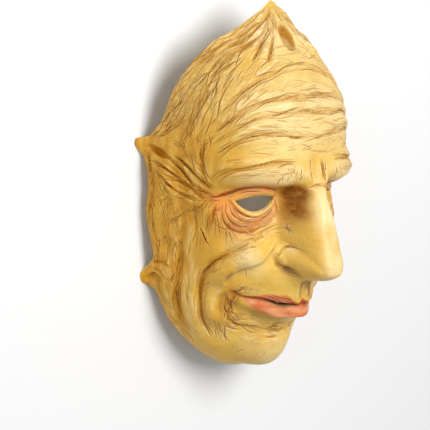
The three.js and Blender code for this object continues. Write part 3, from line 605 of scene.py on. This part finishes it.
# Bundles of strokes: guide line, how far they stray, how many a side, lengths and drift.
# The darkness, the depths and the widths follow where they aren't the usual ones.
BUNDLES = [
    # Forehead, along its furrows and across between them
    (FURROWS[0], 2.2, 16, (14, 42), 0.1, 0.95, DEEP, MEDIUM),
    (FURROWS[1] + [(-16, 52)], 2.6, 22, (14, 44), 0.12),
    (FURROWS[2] + [(-16, 69)], 2.8, 24, (14, 44), 0.12, 0.95),
    (FURROWS[3] + [(-24, 79)], 3, 24, (14, 44), 0.12, 0.95),
    (FURROWS[4] + [(-16, 100)], 3.4, 22, (12, 40), 0.15),
    ([(70, 34), (45, 44), (15, 44), (-15, 43)], 4, 16, (8, 24), 0.25, 0.7, SHALLOW),
    ([(76, 48), (45, 60), (15, 61), (-15, 61)], 4, 14, (8, 24), 0.25, 0.7, SHALLOW),
    ([(72, 62), (45, 78), (15, 88), (-15, 88)], 5, 18, (8, 26), 0.25, 0.7, SHALLOW),
    ([(60, 92), (34, 106), (10, 110), (-14, 109)], 6, 22, (8, 24), 0.3, 0.8),
    ([(92, 48), (70, 62), (52, 80), (34, 96)], 7, 22, (8, 22), 0.35, 0.8),
    # Side of the forehead, up toward the crest
    (CREST_SLOPE, 5, 44, (20, 54), 0.12, 0.95, DEEP, WIDE),
    ([(122, 62), (104, 86), (80, 108), (50, 123), (20, 135)], 8, 50, (18, 50), 0.14, 0.95, DEEP, NARROW),
    ([(104, 52), (90, 76), (68, 100), (42, 119), (15, 134)], 8, 38, (14, 42), 0.16),
    ([(120, 60), (90, 95), (40, 125)], 16, 64, (3, 8), 0.5, 0.35, (0.08, 0.2)),
    ([(135, 60), (110, 70.5), (100, 77.5), (88, 92)], 4, 16, (12, 30), 0.15, 0.95),
    ([(106, 50), (96, 66), (87, 84), (76, 98)], 4, 16, (14, 34), 0.12, 0.95, DEEP, MEDIUM),
    ([(90, 60), (88, 48), (86, 36)], 2, 6, (8, 16), 0.1, 0.95),
    *((fold, 1.6, 12, (10, 34), 0.06) for fold in CREST_FOLDS[:2]),
    (CREST_FOLDS[2], 1.6, 12, (10, 28), 0.06),
    (CREST_FOLDS[3], 1.6, 10, (8, 24), 0.08),
    # Temple
    (TEMPLE_FOLDS[0], 3, 22, (10, 32), 0.15, 0.95),
    (TEMPLE_FOLDS[1], 3, 18, (10, 30), 0.15, 0.95),
    (TEMPLE_FOLDS[2], 3, 18, (10, 30), 0.15),
    *((fold, 3.5, 18, (10, 28), 0.2) for fold in TEMPLE_FOLDS[3:]),
    ([(114, 56), (105, 47), (100, 36)], 7, 14, (6, 16), 0.45),
    ([(116, 40), (104, 32), (93, 22), (82, 13)], 3, 12, (8, 24), 0.2, 0.95),
    ([(84, 60), (85, 48), (87, 38), (86, 26), (83, 16), (77, 9)], 4, 18, (8, 26), 0.2, 0.95),
    ([(103, 60), (99, 44), (94, 30), (86, 18)], 5, 14, (6, 18), 0.35),
    ([(150, 45), (146, 36), (143, 24), (141, 10)], 3, 18, (8, 22), 0.2, 0.85),
    # Cheek below the outer corner of the eye
    ([(88, -2), (88, -14), (85, -27), (80, -42)], 3, 7, (12, 34), 0.12),
    ([(82, -3), (80, -12), (77.5, -24), (76.5, -36)], 2.5, 7, (12, 30), 0.12, 0.95),
    ([(75, -5), (74, -12), (70.5, -23), (67, -35)], 2.5, 6, (12, 28), 0.12),
    ([(69, -8), (66, -16), (62, -25), (58, -34)], 2.5, 5, (9, 22), 0.15, 0.85),
    ([(62, -13), (58, -20), (53, -27)], 2.5, 4, (6, 15), 0.2, 0.8, SHALLOW),
    ([(78, -18), (58, -21), (40, -17), (24, -9)], 2.5, 14, (8, 24), 0.2, 0.75, SHALLOW),
    ([(50, -22), (38, -24), (26, -20)], 3, 8, (5, 14), 0.3, 0.7, SHALLOW),
    ([(72, -2), (74, -12), (73, -24)], 2.5, 5, (9, 20), 0.12, 0.95),
    ([(84, -26), (75.5, -37), (69, -42)], 1, 6, (12, 26), 0.05, 1),
    ([(70, -2), (74, -11), (76, -21)], 4, 16, (6, 18), 0.25, 0.75, SHALLOW),
    ([(77, 1), (84, -8), (90, -20)], 3, 9, (8, 22), 0.2),
    ([(79, -4), (95, -16), (110, -38)], 3, 8, (10, 26), 0.2),
    ([(80, 2), (96, 0), (112, -8)], 4, 10, (8, 22), 0.25, 0.85),
    # Along the rim between temple and jaw, and the side of the jaw
    (SIDE_RIM, 4.5, 60, (8, 26), 0.2, 0.8),
    ([(128, 6), (122, -18), (114, -42), (104, -64)], 7, 36, (5, 16), 0.5, 0.85),
    ([(112, -6), (106, -26), (98, -46), (92, -62)], 7, 26, (5, 16), 0.5, 0.8, SHALLOW),
    ([(132, -20), (118, -10), (104, -4)], 6, 14, (6, 18), 0.4, 0.7, SHALLOW),
    (JAW_VALLEY, 3.5, 28, (10, 30), 0.15),
    ([(108, -72), (103, -82), (99, -90)], 6, 20, (5, 14), 0.35, 0.85),
    ([(104, -52), (96, -68), (86, -90)], 6, 26, (5, 15), 0.5),
    ([(98, -100), (84, -106), (66, -114), (44, -119)], 4, 20, (8, 24), 0.2, 0.75, SHALLOW),
    ([(86, -86), (76, -99), (62, -109)], 5, 14, (6, 18), 0.3, 0.75, SHALLOW),
    # Cheek folds and the roll between them
    (CHEEK_HOLLOW[1:], 1.5, 20, (12, 40), 0.08, 0.95, DEEP, MEDIUM),
    (CHEEK_HOLLOW, 4.5, 14, (8, 24), 0.2, 0.7, SHALLOW),
    (CHEEK_FOLD, 1.2, 10, (8, 26), 0.1, 0.85, SHALLOW),
    ([(84, -30), (82, -52), (74, -76), (62, -98)], 5, 14, (10, 30), 0.2, 0.65, SHALLOW),
    ([(60, -62), (62, -78), (56, -94), (44, -106)], 3, 10, (8, 24), 0.2, 0.7, SHALLOW),
    # Corner of the mouth, lips and chin
    ([(44, -71), (43, -80), (37, -89), (27, -93)], 3.6, 50, (4, 13), 0.4, 1),
    ([(41, -91), (28, -94), (12, -90), (0, -88), (-10, -89)], 2.4, 18, (6, 20), 0.2, 0.95),
    ([(48, -92), (40, -98), (30, -106)], 4, 16, (5, 16), 0.4, 0.85),
    ([(34, -86), (24, -85), (12, -84)], 2.5, 7, (5, 14), 0.4, 0.7, SHALLOW),
    (ABOVE_LIP, 1.8, 14, (8, 24), 0.1, 0.7, SHALLOW),
    ([(41, -71), (42, -66), (38, -59)], 1.3, 7, (5, 12), 0.15, 0.95),
    # Bags and lid of the eye
    *((eye_bag(t), stray, count, (12, 44), drift, dark, depth) for t, stray, count, drift, dark, depth in [
        (0.1, 0.7, 6, 0.05, 0.85, DEEP), (0.24, 0.8, 6, 0.05, 0.7, SHALLOW), (0.38, 0.8, 8, 0.05, 0.9, DEEP),
        (0.52, 0.9, 7, 0.05, 0.7, SHALLOW), (0.66, 0.9, 8, 0.05, 0.9, DEEP),
        (0.8, 1, 7, 0.06, 0.75, SHALLOW), (0.94, 1, 9, 0.06, 0.95, DEEP),
    ]),
    ([(68, 5), (78, 2), (88, -1)], 2.5, 12, (8, 20), 0.1, 0.95),
    ([(24, 12), (21, 2), (22, -8)], 2.2, 9, (6, 16), 0.1, 0.8, SHALLOW),
    (LID_FOLD, 1, 9, (12, 34), 0.05, 0.85),
    ([(64, 4), (52, 11), (40, 12.5), (28, 11)], 1, 4, (8, 20), 0.1, 0.6, SHALLOW),
    # Between and on the brows, and beside the nose
    ([(6, 38), (6.2, 29), (4.6, 19)], 1.4, 9, (6, 16), 0.1),
    ([(24, 18), (23, 25), (22, 32)], 9, 20, (3, 8), 0.3, 0.85),
    ([(64, 24), (44, 28), (20, 29)], 3, 14, (8, 22), 0.2, 0.7, SHALLOW),
    ([(10, 16.5), (0, 18.5), (-10, 16.5)], 1.2, 4, (6, 14), 0.1, 0.85, SHALLOW),
    (WING_CREASE[:4], 1, 7, (5, 12), 0.1),
    ([(21.5, -34), (19.5, -39), (14, -41.5), (8, -41)], 0.8, 5, (5, 14), 0.05, 0.9, SHALLOW),
    ([(17, -42), (12, -43), (7, -42)], 1.4, 6, (3, 8), 0.2, 0.8, SHALLOW),
    ([(3.2, -45), (3.4, -52), (3, -58)], 0.5, 4, (5, 12), 0.05, 0.9, SHALLOW),
    ([(3.4, -44), (4.2, -51), (5.2, -58)], 0.4, 3, (10, 15), 0.03, 1, DEEP, MEDIUM),
    # Tip of the crest, chin and cheek
    ([(2, 146), (6, 134), (13, 120)], 3, 12, (8, 22), 0.15, 0.85),
    ([(2, 145), (14, 137), (32, 130)], 3, 12, (8, 22), 0.15, 0.85),
    ([(14, -96), (13, -108), (9, -122)], 16, 9, (6, 16), 0.5, 0.4, (0.1, 0.2)),
    ([(20, -16), (34, -22), (46, -28)], 3, 8, (6, 16), 0.2, 0.8, SHALLOW),
    ([(60, -36), (47, -44), (36, -50)], 5, 8, (6, 16), 0.4, 0.5, (0.1, 0.25)),
    # Long steep lines between the side of the forehead and its furrows
    ([(94, 58), (83, 82), (66, 104), (46, 118)], 9, 30, (14, 38), 0.22, 1, DEEP, WIDE),
    ([(78, 70), (69, 92), (54, 108)], 8, 16, (10, 28), 0.35, 0.95, DEEP, NARROW),
    ([(140, 60), (112, 84), (88, 108), (58, 125)], 7, 22, (12, 32), 0.3, 1, DEEP, WIDE),
]

# A small star of crossing scratches beside the nose
STAR = np.array([17.5, -14])
STAR_TURNS = range(10, 190, 36)


def sculpt_wrinkles(u, v):
    s = Sculpt(u, v, SEED)
    for bundle in BUNDLES:
        s.bundle(*bundle)
    for k, turn in enumerate(np.radians(STAR_TURNS)):
        reach = (2.5 + 0.6 * (k % 3)) * np.array([math.cos(turn), math.sin(turn)])
        for mirror in (-1, 1):
            s.draw(np.linspace(STAR - reach, STAR + reach, 7) * (mirror, 1), 0.3, 0.25, 0.85)
    return s


# Guides of the fine grain, with how far it reaches to each side
GRAIN = [
    *zip(FURROWS, (9, 9, 8, 8, 12)), *((fold, 9) for fold in TEMPLE_FOLDS),
    (CREST_SLOPE, 14),
    ([(118, 58), (100, 84), (76, 106), (48, 122), (18, 135)], 16),
    (SIDE_RIM, 12),
    ([(122, 0), (116, -22), (106, -46), (98, -66)], 14),
    ([(88, -2), (86, -16), (82, -32), (78, -50)], 9), ([(75, -5), (74, -12), (70, -24), (65, -38)], 8),
    (CHEEK_HOLLOW, 8), (JAW_VALLEY, 10), (eye_bag(0.55), 8), (LID_FOLD, 4),
    ([(45, -70), (43, -80), (36, -92)], 7), ([(41, -91), (28, -94), (12, -90), (0, -88)], 6),
    (ABOVE_LIP, 5), ([(102, -74), (96, -90), (80, -106), (60, -115)], 10),
]


# Offsets that keep the grain of different guides, and of the two sides, from being alike
GUIDE_OFFSET = 211
SIDE_OFFSET = 500


def grain(u, v):
    """How far each place is along and across the nearest guide, and how strong the grain is there."""
    a = np.abs(u)
    along, across, best, second = (np.zeros(len(u)) for _ in range(4))
    for k, (guide, reach) in enumerate(GRAIN):
        line = stroke(guide, 32)
        long = np.hypot(*np.diff(line, axis=0).T).sum()
        side, share = beside(line, a, v)
        weight = bell(side / reach) * smooth(share / 0.12 + 0.15) * smooth((1 - share) / 0.12 + 0.15)
        nearer = weight > best
        second = np.where(nearer, best, np.maximum(second, weight))
        along = np.where(nearer, share * long + GUIDE_OFFSET * k, along)
        across = np.where(nearer, side + np.where(u < 0, SIDE_OFFSET, 0), across)
        best = np.where(nearer, weight, best)
    return along, across, np.clip(best * smooth((best - second) / 0.1), 0, 1)


def dent(u, v, at, size, turn=0):
    """A leaf-shaped dent with a fairly crisp outline, from 0 to 1."""
    return smooth((swelling(u, v, at, size, turn) - 0.2) / 0.35)


def crest_dent_shade(a, v):
    """Painted shade in the dent below the crest's tip, darkest along its edge."""
    return dent(a, v, (0.5, 122), (9, 16)) * (1 - 0.8 * dent(a, v, (0, 120.5), (6.5, 12)))


# Painted spots by colour, with painted shade among the tan and umber and painted highlight among the pale:
# strength, middle, half sizes, turn in degrees and power
ROUGE = [
    (0.48, (72, 0), (24, 13), 15, 0.7), (0.8, (48, -8), (36, 21), -12, 0.5), (0.4, (22, 4), (5, 10)),
    (0.9, (42, 11), (26, 8), 0, 0.5), (0.55, (43.5, -67), (9, 10), -15),
]
# Umber airbrushing with painted shade in the recesses: inner eye corners, under the nose's wing, mouth's
# corner, chin hollow and philtrum
UMBER_AND_SHADE = [
    (1.5, (13, 12.5), (9, 9.5)), (0.9, (12, 3), (6.5, 11)), (0.7, (16.5, -4), (8, 14), 20),
    (0.7, (22, 17), (13, 4)), (0.9, (12, -42.5), (9, 3.5)), (0.6, (42, -77), (7, 12), 10),
    (0.6, (33, -88), (9, 5), -30), (0.8, (3, -49), (2.6, 9), 8), (0.4, (52, -57), (3, 7)),
]
# Tan as painted shade, with some of the mask's own tan, on the jaw's side and at the mouth's corner
TAN_AND_SHADE = [(0.5, (98, -45), (32, 50)), (0.6, (92, -28), (12, 26)), (0.9, (44, -78), (16, 26))]
# Pale paint and painted highlight on the nose's ridge, brow, forehead, chin, cheek, lower lip, crest and jaw
PALE_AND_HIGHLIGHT = [
    (0.9, (0, -10), (10, 46), 0, 0.5), (0.6, (40, 25), (36, 10), -4, 0.3), (0.6, (14, 68), (62, 44), 0, 0.7),
    (0.5, (0, -102), (28, 14), 0, 0.6), (0.6, (46, -37), (24, 13), 35, 0.7), (0.6, (0, -72), (14, 3.5)),
    (0.5, (8, 122), (30, 26)), (0.4, (74, -74), (8, 26), 22),
]


def painted_areas(u, v):
    """Where each colour goes, from 0 to 1, on the outside's points: sprayed and brushed paint, painted shade
    and painted highlight.
    """
    a = np.abs(u)
    lid, along = beside(stroke(LID_FOLD), a, v)
    d = -beside(stroke(LIP_LINE), a, v)[0]
    width = np.maximum(0, 1 - (a / 38) ** 2) ** 0.8
    lower = smooth((d + 12.4 * width + 1) / 3.6) * smooth(0.6 - d) * (width > 0)
    upper_reach = (3.2 + 4.0 * smooth((a - 5) / 8)) * width + 0.4
    upper = smooth(d + 0.6) * smooth((upper_reach - d) / 1.4) * (width > 0)
    rouge = 1.1 * bell(lid / 2.8) * smooth(along / 0.1) + swellings(a, v, ROUGE)
    rouge = rouge * smooth((eye_margin(u, v) - 0.5) / 2.5)
    # Umber in the spots, and painted shade in the dents at crest and temple
    umber_and_shade = swellings(a, v, UMBER_AND_SHADE) + crest_dent_shade(a, v) + 0.45 * dent(a, v, (130, 41.5), (17, 6.5), 27)
    # Tan with painted shade: darker toward the side, toward the chin's lower edge and on the crest
    tan_and_shade = 0.8 * smooth((a - 62) / 46) + 0.15 * smooth((a - 40) / 30) + swellings(a, v, TAN_AND_SHADE)
    tan_and_shade = tan_and_shade + 0.4 * smooth((-105 - v) / 20) + 0.2 * smooth((v - 108) / 24)
    # The sides and the mouth's corner, where amber goes as the mask's own paint and as painted shade
    side = smooth((a - 46) / 26) * smooth((95 - v) / 45)
    areas = {
        "pale_and_highlight": swellings(a, v, PALE_AND_HIGHLIGHT), "lip_lower": lower, "lip_upper": upper,
        "rouge": np.maximum(rouge, 0.8 * upper), "umber_and_shade": umber_and_shade, "tan_and_shade": tan_and_shade,
        "side": np.maximum(side, 0.8 * swelling(a, v, (46, -80), (22, 30))),
        # Painted shade along the lips' parting
        "parting": bell(d / 0.8) * smooth((43.5 - a) / 2) * (0.8 + 0.2 * bell((a - 8) / 16)),
    }
    return {name: np.clip(area, 0, 1) for name, area in areas.items()}


def brushwork(u, v, folds, fine):
    """All that the paint needs to know on the outside's points: areas, washes with painted shade, grain and
    strokes.
    """
    a = np.abs(u)
    colours = painted_areas(u, v)
    # Painted shade in the dents at crest and temple
    dent_shade = crest_dent_shade(a, v) + 0.8 * dent(a, v, (131, 42.5), (17, 7.5), 27)
    hollow = -groove(stroke(CHEEK_HOLLOW[1:]), 2.4, 0.6, 0, 0.2, a, v)
    # Wash and painted shade in the hollows: the strokes' grooves, the dents, the cheek's hollow and the
    # deeper folds
    colours["wash_and_shade"] = np.clip(fine.wash_and_shade + dent_shade + hollow + np.clip(-folds - 0.3, 0, 1.5) * 0.6, 0, 1)
    colours["raised"] = np.clip((fine.height + 0.4 * folds) / 0.6, 0, 1)
    colours["along"], colours["across"], colours["grain"] = grain(u, v)
    for k in range(LAYERS):
        colours[f"off_{k}"] = fine.off[k]
        colours[f"strength_{k}"] = fine.strength[k]
    colours["outside"] = np.ones(len(u))
    # Painted shade: black on the edges of the mouth's slit
    slit = bell(np.maximum(mouth_margin(u, v), 0) / 0.5)
    colours["slit"] = slit * np.where(v > lip_level(a), 0.9, 0.15)
    return colours


def unevenness(u, v):
    """Slight lumps of the hand-worked face, longer down the sides, and smaller on the nose."""
    a = np.abs(u)
    even = np.array([noise.noise(Vector((x / 11, y / 11, 3))) for x, y in zip(u, v)])
    tall = np.array([noise.noise(Vector((x / 8, y / 26, 7))) for x, y in zip(u, v)])
    side = smooth((a - 50) / 25)
    return (0.45 * even * (1 - side) + 1.3 * tall * side) * (1 - 0.7 * swelling(a, v, (0, -10), (26, 60)))


def mask_mesh():
    """The points and triangles of the shell, and the values that its paint uses."""
    u_out, v_out, faces_out = sheet(*grid_of(1))
    u_in, v_in, faces_in = sheet(*grid_of(INSIDE_SHARE))
    loops_out, loops_in = loops(faces_out), loops(faces_in)
    sharpen(u_out, v_out, loops_out[0])
    sharpen(u_in, v_in, loops_in[0])

    a = np.abs(u_out)
    folds = sum(groove(stroke(line), *shape, a, v_out) for line, *shape in WRINKLES)
    fine = sculpt_wrinkles(u_out, v_out)
    edge = smooth(margin(u_out, v_out) / EDGE_FADE)
    lid = 1.5 * bell((eye_margin(u_out, v_out) - 2.4) / 1.6)
    skin = np.clip(fine.height, DEEPEST, HIGHEST) + unevenness(u_out, v_out)
    outside = lay_down(u_out, v_out, form_radius(u_out, v_out) + folds + lid + skin * edge)
    inside = lay_down(u_in, v_in, inside_radius(u_in, v_in))

    offset = len(u_out)
    faces = faces_out + [[p + offset, r + offset, q + offset] for p, q, r in faces_in]
    places = np.stack([np.concatenate([u_out, u_in]), np.concatenate([v_out, v_in])], 1)
    loops_in = [[i + offset for i in loop] for loop in loops_in]
    middle = lambda loop: places[loop].mean(axis=0)
    for loop in loops_out:
        holes = loops_in[:1] if loop is loops_out[0] else loops_in[1:]
        faces += band(loop, min(holes, key=lambda other: math.dist(middle(loop), middle(other))), places)

    colours = brushwork(u_out, v_out, folds, fine)
    # Painted shade: the inside's slit and parting go dark
    slit_inside = bell(np.maximum(mouth_margin(u_in, v_in), 0) / 1.5)
    for name in ("slit", "parting"):
        colours[name] = np.concatenate([colours[name], slit_inside])
    return np.concatenate([outside, inside]), np.array(faces), colours


def add_object(name, data):
    thing = bpy.data.objects.new(name, data)
    bpy.context.scene.collection.objects.link(thing)
    return thing


def make_mask():
    """The mask, centred over the origin, and how far it was moved for that."""
    points, faces, colours = mask_mesh()
    used, faces = np.unique(faces, return_inverse=True)
    faces = faces.reshape(-1, 3)
    kept = points[used]
    shift_y = -(kept[:, 1].min() + kept[:, 1].max()) / 2
    kept[:, 1] += shift_y
    mesh = bpy.data.meshes.new("painted_latex_mask")
    mesh.from_pydata((kept * MM).tolist(), [], faces.tolist())
    for name, values in colours.items():
        full = np.full(len(points), FAR if name.startswith("off") else 0.0)
        full[: len(values)] = values
        mesh.attributes.new(name, "FLOAT", "POINT").data.foreach_set("value", full[used].astype(np.float32))
    mesh.shade_smooth()
    mesh.set_sharp_from_angle(angle=CREASE_ANGLE)
    return add_object("painted_latex_mask", mesh), shift_y


# Sockets of the node that mixes colours
FACTOR, COLOUR_A, COLOUR_B, MIXED_COLOUR = 0, 6, 7, 2


class Nodes:
    """Short helpers for a material's node tree."""

    def __init__(self, material):
        material.use_nodes = True
        self.tree = material.node_tree
        self.tree.nodes.clear()

    def add(self, kind, sockets, **settings):
        """A node with its settings, whose sockets are set or linked to the outputs of other nodes."""
        node = self.tree.nodes.new(kind)
        for name, value in settings.items():
            setattr(node, name, value)
        for key, value in sockets.items():
            if isinstance(value, bpy.types.NodeSocket):
                self.tree.links.new(value, node.inputs[key])
            else:
                node.inputs[key].default_value = value
        return node

    def attribute(self, name):
        return self.add("ShaderNodeAttribute", {}, attribute_name=name).outputs["Fac"]

    def math(self, operation, *values):
        return self.add("ShaderNodeMath", dict(enumerate(values)), operation=operation).outputs[0]

    def times(self, value, factor):
        return self.math("MULTIPLY", value, factor)

    def texture(self, place, scale, detail, roughness):
        sockets = {"Vector": place, "Scale": scale, "Detail": detail, "Roughness": roughness}
        return self.add("ShaderNodeTexNoise", sockets).outputs["Fac"]

    def noise(self, scale, detail, roughness, stretch=(1, 1, 1)):
        place = self.add("ShaderNodeTexCoord", {}).outputs["Object"]
        mapping = self.add("ShaderNodeMapping", {"Vector": place, "Scale": stretch})
        return self.texture(mapping.outputs[0], scale, detail, roughness)

    def grain_lines(self):
        """Hair-fine lines that run along the grain: where a stretched noise crosses its middle."""
        along, across = self.times(self.attribute("along"), 0.07), self.times(self.attribute("across"), 0.55)
        place = self.add("ShaderNodeCombineXYZ", {"X": along, "Y": across})
        wave = self.texture(place.outputs[0], 1, 3, 0.55)
        thin = self.spread(self.math("ABSOLUTE", self.math("SUBTRACT", wave, 0.5)), 0.024, 0.004)
        broken = self.spread(self.noise(60, 3, 0.5), 0.42, 0.6)
        return self.times(self.times(thin, broken), self.attribute("grain"))

    def scratches(self):
        """The sharp middles of the strokes and the burrs along them, from the layers of distances."""
        middles, burrs = 0.0, 0.0
        for k in range(LAYERS):
            off = self.math("ABSOLUTE", self.attribute(f"off_{k}"))
            strength = self.attribute(f"strength_{k}")
            middle = self.spread(off, 1.2, 0.4)
            burr = self.math("SUBTRACT", self.spread(off, 1.1, 1.7), self.spread(off, 2.1, 3.2))
            middles = self.math("MAXIMUM", self.times(middle, strength), middles)
            burrs = self.math("MAXIMUM", self.times(burr, strength), burrs)
        return middles, burrs

    def blend(self, factor, below, above):
        return self.math("MULTIPLY_ADD", factor, self.math("SUBTRACT", above, below), below)

    def spread(self, value, low, high):
        """A value from 0 at low to 1 at high."""
        sockets = {"Value": value, "From Min": low, "From Max": high}
        return self.add("ShaderNodeMapRange", sockets, interpolation_type="SMOOTHSTEP").outputs["Result"]

    def mix(self, factor, below, above):
        """One colour over another, as far as the factor says."""
        below, above = ((*colour, 1) if isinstance(colour, tuple) else colour for colour in (below, above))
        sockets = {FACTOR: factor, COLOUR_A: below, COLOUR_B: above}
        return self.add("ShaderNodeMix", sockets, data_type="RGBA").outputs[MIXED_COLOUR]

    def coat(self, below, where, cover, paint):
        """Paint over what is below it, where a value says and as thickly as cover says."""
        return self.mix(self.times(where, cover), below, paint)

    def surface(self, sockets):
        """The shader of the material's surface."""
        shader = self.add("ShaderNodeBsdfPrincipled", sockets)
        self.add("ShaderNodeOutputMaterial", {"Surface": shader.outputs[0]})


def painted_latex():
    """Yellow latex with painted shade in its hollows and down its sides, pale paint and painted highlight on
    what stands out, and dark lines of wash and painted shade in its wrinkles.
    """
    material = bpy.data.materials.new("painted_latex")
    n = Nodes(material)
    ochre, straw = (0.69, 0.40, 0.062), (0.76, 0.49, 0.10)
    cream, buff = (0.90, 0.76, 0.45), (0.92, 0.69, 0.27)
    amber, honey = (0.67, 0.34, 0.016), (0.48, 0.185, 0.004)
    tawny, gold = (0.54, 0.27, 0.025), (0.52, 0.20, 0.003)
    bark, sienna = (0.38, 0.15, 0.008), (0.36, 0.104, 0.001)
    umber_and_shade, deep_brown = (0.36, 0.12, 0.006), (0.20, 0.056, 0.003)
    blood, russet, brick = (0.78, 0.17, 0.035), (0.40, 0.075, 0.006), (0.52, 0.065, 0.022)
    coral, peach = (0.64, 0.17, 0.06), (0.80, 0.36, 0.16)
    raw_latex, stained_latex = (0.74, 0.58, 0.30), (0.66, 0.48, 0.22)
    # Painted shade for the lips' parting and the mouth's slit
    shade, wine, black = (0.12, 0.03, 0.003), (0.27, 0.05, 0.008), (0.03, 0.009, 0.004)

    side, raised, rouge, outside = (n.attribute(name) for name in ("side", "raised", "rouge", "outside"))
    patches = n.noise(22, 4, 0.55)
    across = n.noise(90, 5, 0.6, (1, 3, 1))
    down = n.noise(70, 5, 0.6, (2.2, 0.6, 2.2))
    streaks = n.blend(side, across, down)
    specks = n.noise(420, 3, 0.6)
    middles, burrs = n.scratches()
    lines = n.math("MAXIMUM", middles, n.times(n.grain_lines(), 0.45))

    # Latex, darker down the sides in its own amber and tan and in painted shade, and pale on what stands out
    # in dry-brushed paint and painted highlight
    colour = n.mix(n.spread(patches, 0.35, 0.68), ochre, straw)
    # Amber down the sides: the mask's own deeper colour and painted shade where the sides turn from the
    # light
    colour = n.coat(colour, side, 0.6, amber)
    colour = n.coat(colour, n.spread(specks, 0.56, 0.68), 0.3, honey)
    # Honey tan as painted shade, with some of the mask's own tan
    tan_and_shade = n.times(n.attribute("tan_and_shade"), n.spread(streaks, 0.66, 0.34))
    colour = n.coat(colour, tan_and_shade, 0.75, honey)
    # Dry-brushed paint and painted highlight on what stands out
    brushed_and_highlight = n.times(raised, n.spread(streaks, 0.42, 0.6))
    # Pale paint and painted highlight on the nose, brow, forehead and chin
    pale_and_highlight = n.times(n.attribute("pale_and_highlight"), n.spread(patches, 0.2, 0.55))
    light = n.mix(side, cream, buff)
    colour = n.coat(colour, n.math("MAXIMUM", brushed_and_highlight, pale_and_highlight), 0.8, light)

    # Reddened lids and lips, and the dark corners beside the nose in umber airbrushing and painted shade
    reddened = n.times(rouge, n.spread(streaks, 0.25, 0.65))
    reddened = n.times(reddened, n.math("MULTIPLY_ADD", raised, -0.45, 1.0))
    colour = n.coat(colour, reddened, 0.75, blood)
    colour = n.mix(n.attribute("lip_lower"), colour, n.mix(n.spread(streaks, 0.35, 0.7), coral, peach))
    colour = n.coat(colour, n.attribute("lip_upper"), 0.9, brick)
    # Umber and painted shade in the recesses and dents
    umber_and_shade_cover = n.times(n.attribute("umber_and_shade"), n.spread(across, 0.0, 0.5))
    colour = n.mix(umber_and_shade_cover, colour, n.mix(n.spread(specks, 0.3, 0.7), deep_brown, umber_and_shade))

    # Pale burrs in dry-brushed paint and painted highlight, washes and painted shade in the hollows, and
    # lines of wash and painted shade in the scratches
    # Pale burrs beside the scratches: dry-brushed paint and painted highlight
    colour = n.mix(n.times(burrs, n.math("MULTIPLY_ADD", side, -0.4, 0.7)), colour, light)
    # Wash with painted shade in the hollows
    wash_and_shade = n.times(n.attribute("wash_and_shade"), n.spread(specks, 0.15, 0.45))
    thin, thick = n.mix(side, tawny, gold), n.mix(side, bark, sienna)
    colour = n.coat(colour, wash_and_shade, 0.8, n.mix(rouge, thin, russet))
    # Dark lines in the scratches: wash and painted shade of grooves finer than the mesh
    ink_and_shade = n.mix(n.spread(lines, 0.3, 0.8), thin, thick)
    ink_and_shade = n.mix(n.spread(rouge, 0.0, 0.6), ink_and_shade, russet)
    lined = n.times(lines, n.spread(specks, 0.1, 0.4))
    colour = n.coat(colour, lined, 0.92, ink_and_shade)

    # Bare latex inside, and painted shade in the dark between the lips and the black of the mouth's slit
    colour = n.mix(outside, n.mix(n.spread(patches, 0.3, 0.7), raw_latex, stained_latex), colour)
    # Painted shade between the lips
    colour = n.mix(n.attribute("parting"), colour, n.mix(outside, shade, wine))
    # Painted shade: black in the mouth's slit
    colour = n.mix(n.attribute("slit"), colour, black)

    height = n.math("SUBTRACT", n.math("ADD", specks, streaks), n.times(lines, 1.8))
    height = n.math("MULTIPLY_ADD", burrs, 0.7, height)
    skin = n.add("ShaderNodeBump", {"Strength": 0.6, "Distance": 0.0006, "Height": height})
    matt = n.math("MULTIPLY_ADD", n.attribute("lip_lower"), -0.14, 0.30)
    n.surface({
        "Base Color": colour, "Roughness": n.math("MULTIPLY_ADD", streaks, 0.2, matt),
        "Specular IOR Level": n.math("MULTIPLY_ADD", lined, -0.22, 0.25), "Normal": skin.outputs["Normal"],
    })
    return material


def add_camera(shift_y):
    """The camera, tilted with the lying mask and turned, raised and rolled about it. Its axes come back."""
    axes = Matrix.Rotation(LYING_TILT, 3, "X") @ Matrix.Rotation(-CAMERA_TURN, 3, "Y")
    axes = axes @ Matrix.Rotation(-CAMERA_RISE, 3, "X") @ Matrix.Rotation(CAMERA_ROLL, 3, "Z")
    across, down = ((pixel - FRAME_PIXELS / 2) / PIXELS_PER_MM for pixel in BROW_PIXEL)
    place = axes @ Vector((-across, down, CAMERA_DISTANCE)) + Vector((0, shift_y, REST_DEPTH))
    data = bpy.data.cameras.new("camera")
    data.sensor_width = SENSOR
    data.lens = SENSOR * PIXELS_PER_MM * CAMERA_DISTANCE / FRAME_PIXELS
    data.clip_end = 20
    camera = add_object("camera", data)
    camera.matrix_world = Matrix.Translation(place * MM) @ axes.to_4x4()
    bpy.context.scene.camera = camera
    return axes


def add_lamps(axes):
    for name, distance, way, size, power in LAMPS:
        data = bpy.data.lights.new(name, "AREA")
        data.shape, data.size, data.energy = "DISK", size, power
        lamp = add_object(name, data)
        lamp.location = Vector(LIT_POINT) + distance * (axes @ Vector(way))
        lamp.rotation_euler = (axes @ -Vector(way)).to_track_quat("-Z", "Y").to_euler()


def add_floor():
    bpy.ops.mesh.primitive_plane_add(size=FLOOR_SIZE, location=(0, 0, 0))
    floor = bpy.context.object
    floor.name = "floor"
    material = bpy.data.materials.new("pale_floor")
    Nodes(material).surface({"Base Color": FLOOR_COLOUR, "Roughness": 0.7})
    floor.data.materials.append(material)


def add_world():
    world = bpy.data.worlds.new("studio")
    world.use_nodes = True
    sky = world.node_tree.nodes["Background"].inputs
    sky["Color"].default_value = (1, 1, 1, 1)
    sky["Strength"].default_value = SURROUND
    bpy.context.scene.world = world


mask, shift_y = make_mask()
mask.data.materials.append(painted_latex())
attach(mask, "root")
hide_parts("latex_mask")

add_floor()
add_world()
add_lamps(add_camera(shift_y))
bpy.context.scene.view_settings.view_transform = "Standard"
